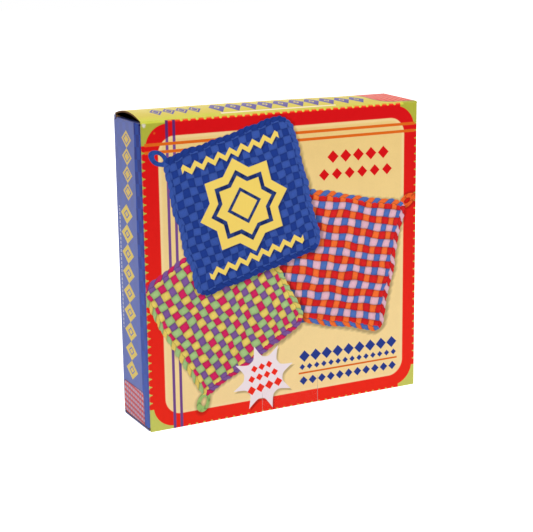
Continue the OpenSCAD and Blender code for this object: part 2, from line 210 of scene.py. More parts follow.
# The printed front, in millimetres from its top left corner
PRINT_SCALE = 1.0065
PRINT_MARGIN = 0.7
SIDE_INSET = 2.0
TOP_INSET = 1.4
BAND_RADIUS = 16.0
NOTCH_PITCH = 5.79
NOTCH_FIRST_X = 28.5
BUMP_FIRST_X = 31.4
BUMP_FIRST_Y = 22.9
NOTCHES_FROM_X = 26.0
NOTCH_TOP_HALF = 1.05
NOTCH_TOP_FOOT = 0.25
BUMP_SIDE = (2.1, 2.6)
BUMP_FOOT = (1.1, 2.2)
EDGE_FROM_X = 17.4
EDGE_TO_X = 201.3
EDGE_FROM_Y = 15.3
EDGE_BAND = 3.4
DASH_OVER = -0.2
MITRE = 0.94
CREASE_TURN = (-1.7, -1.0)
LIME_FROM_X = 204.0

# The cream field: middle, half sizes and corner radius; then the lines that cross it
FIELD = ((107.85, 107.1), (96.85, 97.2), 12.0)
PURPLE_LINES = (17.6, 22.8)
ORANGE_LINES = (14.9, 20.1)
LINE_HALF = 1.03
LINES_FROM_X = 1.3

# An orange speck and a nick in the paper near the top left corner
SPECK = (8.7, 7.3)
NICK = (1.3, 1.7)

# Woven squares on the front: centre, turn in degrees, half a side, corner radius, corner with a loop
WEAVE_PITCH = 5.5
WARP_HALF = 0.44
PAD_MULTI = ((58.5, 132.0), -29.0, 47.5, 8.0, (-1, 1))
PAD_CHECK = ((149.0, 109.5), 12.5, 48.0, 5.0, (1, -1))
PAD_BACK = ((108.0, 104.0), 45.0, 57.75, 6.0, (-1, -1))
PAD_BLUE = ((74.2, 62.1), -14.5, 51.0, 11.0, (-1, -1))

# Their chain-stitched rim and how far their sides and shadows wander
RIM = 3.6
RIM_TURN = 2.7
RIM_BULGE = 0.7
PAD_WANDER = 5.0
PAD_RIPPLE = 0.9
SHADOW_LEAN = 0.02

# Their hanging loops
RING_OUT = 3.4
RING_R = 3.3
RING_HALF = 1.4
RING_SQUASH = 0.56

# The star on the blue square and the zigzags beside it
STAR_REACH = 24.5
STAR_RING = (17.0, 1.5)
STAR_HEART = (8.4, 1.1)
ZIGZAG_AT = 36.0
ZIGZAG_PITCH = 9.0
ZIGZAG_HALF = 2.1
ZIGZAG_REACH = 38.0
STAR_SHADOW = (1.0, 1.2)

# Rows of lozenges: middle, number, pitch, half a lozenge and colour
FRONT_ROWS = (
    (166.0, 34.0, 5, 10.5, 4.6, RED_TOP),
    (164.0, 46.5, 6, 10.5, 4.2, RED_TOP),
    (158.0, 178.0, 9, 9.3, 4.4, NAVY),
    (158.0, 186.0, 14, 6.0, 2.3, NAVY),
    (158.0, 196.5, 11, 7.6, 3.3, NAVY))
BURST_ROWS = (
    (0.0, -8.2, 3, 6.0, 2.7, RED_LOW),
    (0.0, -1.2, 4, 6.2, 2.8, RED_LOW),
    (0.0, 7.0, 4, 7.2, 3.5, RED_LOW))

# The thin rule between two of the rows
RULE_Y = 190.6
RULE_HALF = 0.65
RULE_ENDS = (116.0, 200.0)

# The white burst; its rows of lozenges are placed from its middle
BURST_CENTRE = (87.2, 188.6)
BURST_TURN = -9.0
BURST_POINTS = 8
BURST_INNER = 15.5
BURST_OUTER = 25.0
BURST_PHASE = 30.37
BURST_SHADOW = (1.2, 1.6)

# Chains of lozenges: place across, ends, number, half a lozenge, share of the line and colour
SIDE_CHAINS = (
    (25.5, 8.0, 56.0, 4, 8.6, 0.17, CHAIN_PALE),
    (29.5, 59.0, 184.0, 9, 10.6, 0.27, CHAIN_YELLOW))
LID_CHAINS = (
    (15.5, 12.0, 50.0, 4, 7.2, 0.18, LID_PURPLE),
    (16.0, 56.0, 180.0, 10, 10.0, 0.33, LID_PURPLE))

# The rest of the side's print, back from the front crease and down from the top
SIDE_WEAVE = (5.5, 8.0)
SIDE_STRIP = 10.6
VEIL_SHARE = 0.68
DEEP_VEIL_AT = 300.0
SIDE_LINE = 42.4
SIDE_LINE_ENDS = (62.0, 149.0)
SIDE_DASH_PITCH = 2.9
SIDE_PATCH = ((204.8, 28.0), (16.8, 18.5), 4.0)
SIDE_CHECK_PITCH = 3.9

# The rest of the lid's print, from the left and back from the front crease
LID_LINE = 4.7
LID_LINE_ENDS = (60.0, 150.0)
LID_PATCH = ((214.0, 29.0), (28.0, 25.0), 13.0)
LID_CHECK_PITCH = 4.4
LID_SEAM_TO = 36.0
LID_LIME_FADE = (40.0, 85.0)

# The chart on the leaflet: middle, half sizes and corner radius of the frame and of the woven area
LEAFLET_FRAME = ((0.0, 91.0), (63.0, 83.0), 3.0)
LEAFLET_AREA = ((0.0, 111.0), (42.0, 42.0), 1.0)
LEAFLET_WEFT = (226, 92, 84)
LEAFLET_WARP = (96, 124, 188)
LEAFLET_LINE = (70, 84, 140)
PAPER_WHITE = (246, 243, 234)
PAPER_GREY = (238, 234, 222)


def srgb(rgb):
    """An sRGB colour from 0 to 255 as the linear colour that a shader takes."""
    def linear(c):
        c = c / 255
        return c / 12.92 if c <= 0.04045 else ((c + 0.055) / 1.055) ** 2.4
    return (linear(rgb[0]), linear(rgb[1]), linear(rgb[2]), 1.0)


class Value:
    """A number in a node tree. Arithmetic on it adds Math nodes."""

    def __init__(self, graph, socket):
        self.graph = graph
        self.socket = socket

    def __add__(self, other):
        return self.graph.math("ADD", self, other)

    def __radd__(self, other):
        return self.graph.math("ADD", other, self)

    def __sub__(self, other):
        return self.graph.math("SUBTRACT", self, other)

    def __rsub__(self, other):
        return self.graph.math("SUBTRACT", other, self)

    def __mul__(self, other):
        return self.graph.math("MULTIPLY", self, other)

    def __rmul__(self, other):
        return self.graph.math("MULTIPLY", other, self)

    def __truediv__(self, other):
        return self.graph.math("DIVIDE", self, other)

    def __neg__(self):
        return self.graph.math("SUBTRACT", 0.0, self)


def empty_tree(owner):
    """The node tree of a material or a world, with nothing in it."""
    owner.use_nodes = True
    owner.node_tree.nodes.clear()
    return owner.node_tree


class Graph:
    """A material's node tree with one Principled shader, and short names for the nodes it uses."""

    def __init__(self, name, roughness=0.5, **settings):
        self.material = bpy.data.materials.new(name)
        self.tree = empty_tree(self.material)
        self.output = self.tree.nodes.new("ShaderNodeOutputMaterial")
        self.shader = self.tree.nodes.new("ShaderNodeBsdfPrincipled")
        self.link(self.shader.outputs["BSDF"], self.output.inputs["Surface"])
        self.shader.inputs["Roughness"].default_value = roughness
        for key, value in settings.items():
            self.shader.inputs[key.replace("_", " ")].default_value = value
        self.coordinates = self.tree.nodes.new("ShaderNodeTexCoord")
        self.scaled = self.scale_by(self.coordinates.outputs["Object"], MM)
        self.x, self.y, self.z = self.split(self.scaled)
        self.nx, self.ny, self.nz = self.split(self.coordinates.outputs["Normal"])

    def link(self, source, target):
        self.tree.links.new(source, target)

    def put(self, socket, value):
        """Sets a socket to a number, a colour or another node's output."""
        if isinstance(value, Value):
            self.link(value.socket, socket)
        elif isinstance(value, bpy.types.NodeSocket):
            self.link(value, socket)
        elif isinstance(value, tuple) and len(value) == 3 and socket.type == "RGBA":
            socket.default_value = srgb(value)
        else:
            socket.default_value = value

    def math(self, operation, a, b=None, c=None, clamp=False):
        node = self.tree.nodes.new("ShaderNodeMath")
        node.operation = operation
        node.use_clamp = clamp
        for socket, value in zip(node.inputs, (a, b, c)):
            if value is not None:
                self.put(socket, value)
        return Value(self, node.outputs[0])

    def split(self, vector):
        node = self.tree.nodes.new("ShaderNodeSeparateXYZ")
        self.link(vector, node.inputs[0])
        return [Value(self, s) for s in node.outputs]

    def join(self, x, y, z=0.0):
        node = self.tree.nodes.new("ShaderNodeCombineXYZ")
        for socket, value in zip(node.inputs, (x, y, z)):
            self.put(socket, value)
        return node.outputs[0]

    def sin(self, a):
        return self.math("SINE", a)

    def abs(self, a):
        return self.math("ABSOLUTE", a)

    def floor(self, a):
        return self.math("FLOOR", a)

    def fract(self, a):
        return self.math("FRACT", a)

    def min(self, a, b):
        return self.math("MINIMUM", a, b)

    def max(self, a, b):
        return self.math("MAXIMUM", a, b)

    def above(self, a, b):
        return self.math("GREATER_THAN", a, b)

    def clamp(self, a):
        return self.math("ADD", a, 0.0, clamp=True)

    def length(self, a, b):
        return self.math("SQRT", a * a + b * b)

    def ramp(self, a, low, high):
        """0 where a is low, 1 where it is high, straight between."""
        return self.math("MULTIPLY_ADD", a, 1 / (high - low), -low / (high - low), clamp=True)

    def inside(self, distance, soft=0.16):
        """1 where a signed distance in millimetres is below zero, with a soft edge."""
        return self.ramp(distance, soft, -soft)

    def tint(self, factor, a, b):
        """Colour a where factor is 0, b where it is 1."""
        node = self.tree.nodes.new("ShaderNodeMix")
        node.data_type = "RGBA"
        self.put(node.inputs[0], factor)
        self.put(node.inputs[6], a)
        self.put(node.inputs[7], b)
        return node.outputs[2]

    def scale_by(self, colour, amount):
        """A colour or a vector multiplied by a number."""
        node = self.tree.nodes.new("ShaderNodeVectorMath")
        node.operation = "SCALE"
        self.put(node.inputs[0], colour)
        self.put(node.inputs["Scale"], amount)
        return node.outputs[0]

    def mix(self, factor, a, b):
        """Number a where factor is 0, b where it is 1."""
        return self.math("MULTIPLY_ADD", factor, b - a, a)

    def odd(self, a):
        """1 in every second unit step of a, 0 in the others."""
        return self.above(self.fract(a * 0.5), 0.499)

    def noise(self, vector, scale, detail=2.0, roughness=0.5):
        node = self.tree.nodes.new("ShaderNodeTexNoise")
        self.link(vector, node.inputs["Vector"])
        node.inputs["Scale"].default_value = scale
        node.inputs["Detail"].default_value = detail
        node.inputs["Roughness"].default_value = roughness
        return Value(self, node.outputs["Fac"])

    def round_rect(self, x, y, half_w, half_h, radius):
        """Signed distance from a rounded rectangle about the origin."""
        qx = self.abs(x) - (half_w - radius)
        qy = self.abs(y) - (half_h - radius)
        outer = self.length(self.max(qx, 0.0), self.max(qy, 0.0))
        inner = self.min(self.max(qx, qy), 0.0)
        return outer + inner - radius

    def colour(self, value):
        self.put(self.shader.inputs["Base Color"], value)

    def roughness(self, value):
        self.put(self.shader.inputs["Roughness"], value)

    def bump(self, height, distance, strength=1.0):
        """Bump from a height in parts of distance, which is in metres."""
        node = self.tree.nodes.new("ShaderNodeBump")
        node.inputs["Strength"].default_value = strength
        node.inputs["Distance"].default_value = distance
        self.put(node.inputs["Height"], height)
        self.link(node.outputs["Normal"], self.shader.inputs["Normal"])


def camera():
    """The photograph's camera, at its distance from the middle of the box."""
    a, e, r = (math.radians(v) for v in (AZIMUTH, ELEVATION, ROLL))
    forward = Vector((math.sin(a) * math.cos(e), math.cos(a) * math.cos(e), -math.sin(e)))
    right = Vector((math.cos(a), -math.sin(a), 0))
    up = right.cross(forward)
    turned_right = math.cos(r) * right + math.sin(r) * up
    turned_up = math.cos(r) * up - math.sin(r) * right
    data = bpy.data.cameras.new("camera")
    data.sensor_width = SENSOR
    data.lens = SENSOR * FOCAL_PIXELS / IMAGE_W
    data.shift_x = (IMAGE_W / 2 - AXIS_X) / IMAGE_W
    data.shift_y = (AXIS_Y - IMAGE_H / 2) / IMAGE_W
    data.clip_start = 0.01
    data.clip_end = 20
    body = bpy.data.objects.new("camera", data)
    bpy.context.scene.collection.objects.link(body)
    place = MIDDLE - DISTANCE * forward
    body.matrix_world = Matrix.Translation(place) @ Matrix(
        (turned_right, turned_up, -forward)).transposed().to_4x4()
    bpy.context.scene.camera = body


def lamp(name, place, size, power):
    """A round soft lamp, aimed at the middle of the box."""
    data = bpy.data.lights.new(name, "AREA")
    data.shape = "DISK"
    data.size = size
    data.energy = power
    body = bpy.data.objects.new(name, data)
    bpy.context.scene.collection.objects.link(body)
    body.location = place
    direction = MIDDLE - Vector(place)
    body.rotation_euler = direction.to_track_quat("-Z", "Y").to_euler()


def seen_directly(tree):
    """1 for rays from the camera, also by way of a mirror or through clear film."""
    path = tree.nodes.new("ShaderNodeLightPath")
    seen = path.outputs["Is Camera Ray"]
    for kind in ("Is Glossy Ray", "Is Transmission Ray"):
        either = tree.nodes.new("ShaderNodeMath")
        either.operation = "MAXIMUM"
        tree.links.new(seen, either.inputs[0])
        tree.links.new(path.outputs[kind], either.inputs[1])
        seen = either.outputs[0]
    return seen


def show_two_ways(tree, lit, seen, surface):
    """One shader for light that falls on the box, another for what is seen directly."""
    mix = tree.nodes.new("ShaderNodeMixShader")
    tree.links.new(seen_directly(tree), mix.inputs[0])
    tree.links.new(lit.outputs[0], mix.inputs[1])
    tree.links.new(seen.outputs[0], mix.inputs[2])
    tree.links.new(mix.outputs[0], surface)


def glow(tree, kind, strength):
    """A white background or emission node."""
    node = tree.nodes.new(kind)
    node.inputs["Color"].default_value = (1, 1, 1, 1)
    node.inputs["Strength"].default_value = strength
    return node


def light():
    """Soft studio light from the front right and from above, with a white surround."""
    for lamp_values in LAMPS:
        lamp(*lamp_values)
    world = bpy.data.worlds.new("studio")
    bpy.context.scene.world = world
    tree = empty_tree(world)
    lit = glow(tree, "ShaderNodeBackground", SURROUND)
    seen = glow(tree, "ShaderNodeBackground", 1.0)
    out = tree.nodes.new("ShaderNodeOutputWorld")
    show_two_ways(tree, lit, seen, out.inputs["Surface"])


def floor():
    """A wide white floor that shows as white and keeps a faint shadow of the box."""
    mesh = bpy.data.meshes.new("floor")
    corners = [(-FLOOR_REACH, -FLOOR_REACH, 0), (FLOOR_REACH, -FLOOR_REACH, 0),
               (FLOOR_REACH, FLOOR_REACH, 0), (-FLOOR_REACH, FLOOR_REACH, 0)]
    mesh.from_pydata(corners, [], [(0, 1, 2, 3)])
    plane = bpy.data.objects.new("floor", mesh)
    bpy.context.scene.collection.objects.link(plane)
    material = bpy.data.materials.new("floor_white")
    tree = empty_tree(material)
    matt = tree.nodes.new("ShaderNodeBsdfDiffuse")
    matt.inputs["Color"].default_value = (FLOOR_GREY, FLOOR_GREY, FLOOR_GREY, 1)
    both = tree.nodes.new("ShaderNodeAddShader")
    tree.links.new(matt.outputs[0], both.inputs[0])
    tree.links.new(glow(tree, "ShaderNodeEmission", FLOOR_GLOW).outputs[0], both.inputs[1])
    out = tree.nodes.new("ShaderNodeOutputMaterial")
    show_two_ways(tree, matt, both, out.inputs["Surface"])
    mesh.materials.append(material)


def dress(node, material):
    """Gives a CAD node its material."""
    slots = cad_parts[node].data.materials
    slots.clear()
    slots.append(material)


def near_line(g, a, centre, half, soft=0.16):
    """1 on a stripe about centre."""
    return g.inside(g.abs(a - centre) - half, soft)


def in_range(g, a, low, high):
    """1 between two values of a."""
    return near_line(g, a, (low + high) / 2, (high - low) / 2, 0.08)


def steps_from(g, a, first):
    """Distance along a from the middle of the nearest notch."""
    return (g.fract((a - first) / NOTCH_PITCH + 0.5) - 0.5) * NOTCH_PITCH


def across_front(g):
    """Distance along X from the print's left edge."""
    return g.x * PRINT_SCALE + FRONT_W / 2


def down_front(g):
    """Distance down the wall from the print's top edge."""
    return (FRONT_H / 2 - g.z) * PRINT_SCALE + FRONT_H / 2


def behind_front(g):
    """Distance back from the carton's front face."""
    return g.y + HALF_DEPTH


def patch(g, a, b, shape):
    """Signed distance from a rounded rectangle: its middle, half sizes and corner radius."""
    (middle_a, middle_b), (half_a, half_b), radius = shape
    return g.round_rect(a - middle_a, b - middle_b, half_a, half_b, radius)


def bumpy_edge(g, step, inward, inset, radius):
    """Round bumps that reach an edge of the print, and the strip behind them."""
    bumps = g.length(step, inward - inset) - radius
    return g.max(g.min(bumps, inset - inward), inward - EDGE_BAND)


def edge_reach(g, x):
    """Below zero where the notched edges at the top and the foot run."""
    return g.abs(x - (EDGE_FROM_X + EDGE_TO_X) / 2) - (EDGE_TO_X - EDGE_FROM_X) / 2


def top_dashes(g, x, over):
    """The band's notched top edge, which ends on the crease. On the lid, over is above zero."""
    below = g.max(-over - NOTCH_TOP_FOOT, 0.0)
    notch = g.length(steps_from(g, x, NOTCH_FIRST_X), below) - NOTCH_TOP_HALF
    notch = g.max(notch, NOTCHES_FROM_X - x)
    strip = g.abs(over + (EDGE_BAND - DASH_OVER) / 2) - (EDGE_BAND + DASH_OVER) / 2
    return g.max(g.max(-notch, strip), edge_reach(g, x))


def parchment(g, low_share):
    """Cream paper colour with soft clouds, lighter towards the foot: partly the print, partly painted
    light from below.
    """
    cloud = g.noise(g.scaled, 0.07, 4.0, 0.6)
    grain = g.noise(g.scaled, 1.1, 2.0)
    base = g.tint(low_share, CREAM_TOP, CREAM_LOW)
    return g.scale_by(base, 0.91 + cloud * 0.1 + grain * 0.07)


def border(g, x, y):
    """Red notched band on a lime ground, round a cream field with crossing lines."""
    # low_share makes the print lighter towards the foot: partly the print's own, partly painted light
    # from below
    low_share = g.ramp(y, 0.0, FRONT_H)
    over = g.z - FRONT_H
    on_crease = g.ramp(over, *CREASE_TURN)
    ground = g.scale_by(g.tint(low_share, LIME, LIME_LOW), 0.95 + g.noise(g.scaled, 0.5) * 0.1)
    ground = g.tint(on_crease * g.above(LIME_FROM_X, x), ground, LIME_LID)
    band = g.round_rect(x - FRONT_W / 2, y - FRONT_H / 2, FRONT_W / 2 - SIDE_INSET,
                        FRONT_H / 2 - TOP_INSET, BAND_RADIUS)
    from_side = g.min(x, FRONT_W - x) + PRINT_MARGIN
    bumps = bumpy_edge(g, steps_from(g, y, BUMP_FIRST_Y), from_side, *BUMP_SIDE)
    side = g.max(bumps, g.abs(y - FRONT_H / 2) - (FRONT_H / 2 - EDGE_FROM_Y))
    step = steps_from(g, x, BUMP_FIRST_X) * g.above(x, NOTCHES_FROM_X)
    foot = g.max(bumpy_edge(g, step, FRONT_H - y + PRINT_MARGIN, *BUMP_FOOT), edge_reach(g, x))
    whole = g.min(g.min(band, side), g.min(foot, top_dashes(g, x, over)))
    red = g.scale_by(g.tint(low_share, RED_TOP, RED_LOW), 0.96 + g.noise(g.scaled, 0.25, 3.0) * 0.08)
    # The red band turns lighter on the top crease: a painted highlight
    red = g.tint(on_crease, red, RED_CREASE_HIGHLIGHT)
    colour = g.tint(g.inside(whole), ground, red)
    field = patch(g, x, y, FIELD)
    on_field = g.inside(field)
    colour = g.tint(on_field, colour, parchment(g, low_share))
    colour = g.tint(g.inside(g.abs(field + 1.0) - 1.0, 0.6) * 0.3, colour, FIELD_EDGE)
    purple = g.tint(g.max(on_field, low_share), PURPLE_ON_RED, PURPLE)
    for line in PURPLE_LINES:
        colour = g.tint(near_line(g, x, line, LINE_HALF), colour, purple)
    inner = in_range(g, x, LINES_FROM_X, FRONT_W - LINES_FROM_X)
    for line in ORANGE_LINES:
        colour = g.tint(near_line(g, y, line, LINE_HALF) * inner, colour, ORANGE)
    return colour


def turned(x, y, pad):
    """Coordinates along a woven square's own sides."""
    (cx, cy), turn = pad[:2]
    c, s = math.cos(math.radians(turn)), math.sin(math.radians(turn))
    dx, dy = x - cx, y - cy
    return dx * c + dy * s, dy * c - dx * s


def pad_frame(g, x, y, pad):
    """Coordinates along a woven square's sides, signed distance from it, and 1 on its hanging loop."""
    half, corner, (ring_x, ring_y) = pad[2:]
    u, v = turned(x, y, pad)
    bulge = g.abs(g.sin((u + v * 0.9) * (math.pi / WEAVE_PITCH)))
    outline = g.round_rect(u, v, half, half, corner) - bulge * RIM_BULGE
    reach = half + RING_OUT - corner * 0.25
    du, dv = u - ring_x * reach, v - ring_y * reach
    long = (du * ring_x + dv * ring_y) * math.sqrt(0.5)
    wide = (du * ring_y - dv * ring_x) * math.sqrt(0.5)
    ring = g.abs(g.length(long * RING_SQUASH, wide) - RING_R) - RING_HALF
    return u, v, g.min(outline, ring), g.above(outline, 0.4)


def leaning(distance, u, v):
    """Distance from a woven square as its soft shadow has it, longer towards the lower right."""
    return distance - (u + v) * SHADOW_LEAN


def weave_cells(g, u, v, depth):
    """Which strand lies on top, the strands' numbers and a shade.

    A plain weave inside a chain-stitched rim.
    """
    cu = u / WEAVE_PITCH + 100.5
    cv = v / WEAVE_PITCH + 100.5
    iu, iv = g.floor(cu), g.floor(cv)
    fu, fv = g.abs(cu - iu - 0.5), g.abs(cv - iv - 0.5)
    crossing = g.odd(iu + iv)
    warp = crossing * g.above(WARP_HALF, fu)
    between_wefts = 1.0 - g.ramp(fv, 0.34, 0.5) * 0.34
    beside_warp = 1.0 - g.ramp(g.abs(fu - WARP_HALF), 0.1, 0.0) * crossing * 0.3
    shade = between_wefts * beside_warp * (1.08 - (fu * fu + fv * fv) * 0.7)
    on_rim = g.above(RIM, depth)
    upright = g.above(g.abs(v), g.abs(u))
    stitch = (g.mix(upright, v, u) + depth * 1.1) / WEAVE_PITCH + 100.0
    number = g.floor(stitch)
    between_stitches = 1.0 - g.ramp(g.abs(stitch - number - 0.5), 0.3, 0.5) * 0.45
    rim_shade = between_stitches * (1.0 - g.ramp(depth, RIM_TURN, RIM) * 0.35)
    return (g.mix(on_rim, warp, upright), g.mix(on_rim, iu, number), g.mix(on_rim, iv, number),
            g.mix(on_rim, shade, rim_shade))


def knitted(g, iu, iv, colour, shade):
    """Cloth colour with fuzzy grain and a tone of its own for each crossing."""
    grain = g.noise(g.scaled, 1.1, 3.0, 0.75)
    tone = g.noise(g.join(iu * 3.7, iv * 5.3), 1.0, 0.0)
    return g.scale_by(colour, shade * (0.64 + grain * 0.46 + tone * 0.22))


def striped(g, warp, iu, iv, strands):
    """The colour of the strand on top, where two colours take turns each way."""
    weft = g.tint(g.odd(iv), strands[0], strands[1])
    return g.tint(warp, weft, g.tint(g.odd(iu), strands[2], strands[3]))


def front_art(g):
    """The bordered front: three woven squares over each other, a star, lozenges and a burst."""
    page_x, page_y = across_front(g), down_front(g)
    colour = border(g, page_x, page_y)
    x = page_x + (g.noise(g.scaled, 0.05, 1.0) - 0.5) * PAD_WANDER
    x = x + (g.noise(g.scaled, 0.3, 2.0) - 0.5) * PAD_RIPPLE
    y = page_y + (g.noise(g.join(g.z, g.x, 0.0), 0.05, 1.0) - 0.5) * PAD_WANDER
    ua, va, da, loop_a = pad_frame(g, x, y, PAD_CHECK)
    ub, vb, db, loop_b = pad_frame(g, x, y, PAD_MULTI)
    uc, vc, dc, loop_c = pad_frame(g, x, y, PAD_BLUE)
    hard_b, hard_c = g.above(0.0, db), g.above(0.0, dc)

    def uppermost(low, middle, high):
        return g.mix(hard_c, g.mix(hard_b, low, middle), high)

    u, v = uppermost(ua, ub, uc), uppermost(va, vb, vc)
    warp, iu, iv, shade = weave_cells(g, u, v, -uppermost(da, db, dc))
    check_cloth = striped(g, warp, iu, iv, CHECK_STRANDS)
    cloth = g.tint(hard_b, check_cloth, striped(g, warp, iu, iv, MULTI_STRANDS))
    cloth = g.tint(hard_c, cloth, g.tint(warp, MID_BLUE, DEEP_BLUE))
    loop_colour = g.tint(hard_c, g.tint(hard_b, CHECK_LOOP, MULTI_LOOP), BLUE_LOOP)
    cloth = g.tint(uppermost(loop_a, loop_b, loop_c), cloth, loop_colour)
    shade = g.mix(hard_c, shade, shade * 0.6 + 0.4)
    cloth = knitted(g, iu, iv, cloth, shade)
    lean_a, lean_b, lean_c = leaning(da, ua, va), leaning(db, ub, vb), leaning(dc, uc, vc)
    colour = g.scale_by(colour, 1.0 - g.ramp(g.min(g.min(lean_a, lean_b), lean_c), 2.0, -0.3) * 0.5)
    under_blue = g.ramp(lean_c, 2.4, -0.3) * (1.0 - hard_c)
    under_multi = g.ramp(lean_b, 2.0, 0.0) * (1.0 - g.max(hard_b, hard_c))
    cloth = g.scale_by(cloth, 1.0 - g.max(under_blue, under_multi) * 0.5)
    colour = g.tint(g.inside(g.min(g.min(da, db), dc)), colour, cloth)
    colour = star(g, colour, *turned(page_x, page_y, PAD_BLUE))
    for row in FRONT_ROWS:
        colour = lozenge_row(g, colour, page_x, page_y, *row)
    rule = near_line(g, page_y, RULE_Y, RULE_HALF) * in_range(g, page_x, *RULE_ENDS)
    colour = g.tint(rule, colour, ORANGE)
    colour = burst(g, colour, page_x, page_y)
    speck = g.inside(g.length(page_x - SPECK[0], page_y - SPECK[1]) - 0.7, 0.3)
    colour = g.tint(speck * 0.7, colour, ORANGE)
    rub = g.noise(g.scaled, 0.9, 3.0, 0.7)
    nick = g.inside(g.length(page_x - NICK[0], page_y - NICK[1]) - 0.9 - rub, 0.5)
    nick = nick * g.ramp(rub, 0.38, 0.55)
    return g.tint(nick * 0.85, colour, TORN_PAPER)


def star(g, colour, u, v):
    """A yellow eight-pointed star between two zigzags, as quilts and weavings have."""
    def figure(a, b):
        eight = g.min(g.max(g.abs(a), g.abs(b)), (g.abs(a) + g.abs(b)) * math.sqrt(0.5))
        teeth = g.abs(g.fract(a / ZIGZAG_PITCH) - 0.5) * ZIGZAG_PITCH
        zigzag = g.abs(g.abs(b) - ZIGZAG_AT - teeth) - ZIGZAG_HALF
        return eight, g.max(zigzag, g.abs(a) - ZIGZAG_REACH)

    shadow_eight, shadow_zigzag = figure(u - STAR_SHADOW[0], v - STAR_SHADOW[1])
    shadow = g.inside(g.min(shadow_eight - STAR_REACH, shadow_zigzag), 0.8)
    colour = g.scale_by(colour, 1.0 - shadow * 0.5)
    eight, zigzag = figure(u, v)
    open_ring = near_line(g, eight, *STAR_RING)
    diamond = near_line(g, (g.abs(u) + g.abs(v)) * math.sqrt(0.5), *STAR_HEART)
    body = g.inside(eight - STAR_REACH) * (1.0 - g.max(open_ring, diamond))
    return g.tint(g.max(body, g.inside(zigzag)), colour, STAR_YELLOW)


def burst(g, colour, x, y):
    """A plain white burst of points, with a few red lozenges on it."""
    def outline(dx, dy):
        turn = g.math("ARCTAN2", dy, dx) * (BURST_POINTS / (2 * math.pi)) + BURST_PHASE
        point = g.abs(g.fract(turn) - 0.5) * 2.0
        reach = point * point * point * (BURST_OUTER - BURST_INNER)
        return g.length(dx, dy) - BURST_INNER - reach

    dx, dy = x - BURST_CENTRE[0], y - BURST_CENTRE[1]
    shadow = g.inside(outline(dx - BURST_SHADOW[0], dy - BURST_SHADOW[1]), 1.2)
    colour = g.scale_by(colour, 1.0 - shadow * 0.45)
    colour = g.tint(g.inside(outline(dx, dy), 0.3), colour, BURST_WHITE)
    along, down = turned(x, y, (BURST_CENTRE, BURST_TURN))
    for row in BURST_ROWS:
        colour = lozenge_row(g, colour, along, down, *row)
    return colour


def lozenge_row(g, colour, x, y, centre_x, centre_y, count, pitch, size, rgb):
    """A short row of small lozenges."""
    a = (g.fract((x - centre_x) / pitch + (0.5 if count % 2 else 0.0)) - 0.5) * pitch
    shape = g.abs(a) + g.abs(y - centre_y) - size
    reach = count * pitch / 2
    return g.tint(g.inside(g.max(shape, g.abs(x - centre_x) - reach)), colour, rgb)


def chain(g, colour, along, across, centre, first, last, count, half, weight, rgb):
    """A chain of open lozenges with solid hearts. Weight is the line's share of the size."""
    pitch = (last - first) / count
    a = g.abs(g.fract((along - first) / pitch) - 0.5) * (2 * half)
    reach = a + g.abs(across - centre)
    ring = g.inside(g.abs(reach - half * (1 - weight)) - half * weight)
    heart = g.inside(reach - half * (0.84 - 2 * weight))
    ends = in_range(g, along, first, last)
    return g.tint(g.max(ring, heart) * ends, colour, rgb)


def gingham(g, a, b, pitch, colours):
    """A fine two-way check of a ground and two stripes."""
    base, second, third = colours
    odd_a = g.above(g.fract(a / pitch), 0.5)
    odd_b = g.above(g.fract(b / pitch), 0.5)
    colour = g.tint(odd_a, base, second)
    return g.tint(odd_b * (0.35 + odd_a * 0.3), colour, third)


def side_art(g):
    """Blue woven ground under a pale veil, a chain of lozenges and a check at the foot."""
    y, s = behind_front(g), FRONT_H - g.z
    u = y * 0.97 + s * 0.1
    v = s * 0.97 - y * 0.1
    iu, iv = g.floor(u / SIDE_WEAVE[0] + 50.3), g.floor(v / SIDE_WEAVE[1] + 50.0)
    warp = g.odd(iu + iv)
    tone = g.noise(g.join(iu * 3.7, iv * 5.3), 1.0, 0.0)
    fibre = g.noise(g.join(g.y, g.z * 0.25, 0.0), 0.8, 3.0, 0.7)
    woven = g.tint(warp * 0.75, SIDE_DARK, SIDE_LIGHT)
    woven = g.scale_by(woven, 0.54 + fibre * 0.4 + tone * 0.36)
    woven = g.tint(g.ramp(s, 0.0, DEEP_VEIL_AT), woven, DEEP_VEIL)
    edge = y - SIDE_STRIP - g.noise(g.scaled, 0.05) * 2.0
    colour = g.tint(g.ramp(edge, -0.5, 0.5) * VEIL_SHARE, woven, VEIL)
    for links in SIDE_CHAINS:
        colour = chain(g, colour, s, y, *links)
    line = near_line(g, y, SIDE_LINE, 0.9) * in_range(g, s, *SIDE_LINE_ENDS)
    dashes = line * g.above(0.7, g.fract(s / SIDE_DASH_PITCH))
    colour = g.tint(dashes * 0.8, colour, DASH_WHITE)
    patch_edge = patch(g, s, y, SIDE_PATCH)
    cloth = gingham(g, s + y * 0.1, y - s * 0.1, SIDE_CHECK_PITCH, SIDE_CHECK)
    colour = g.tint(g.inside(patch_edge), colour, cloth)
    colour = g.tint(g.inside(g.abs(patch_edge) - 0.45) * 0.6, colour, SIDE_SEAM)
    reach = g.abs(s - FRONT_H / 2) - (FRONT_H / 2 - EDGE_FROM_Y)
    bumps = g.inside(g.max(g.abs(steps_from(g, s, BUMP_FIRST_Y)) - 1.6, reach))
    corner = g.tint(bumps, LIME, RED_TOP)
    return g.tint(g.ramp(y, 0.75, 0.55), colour, corner)


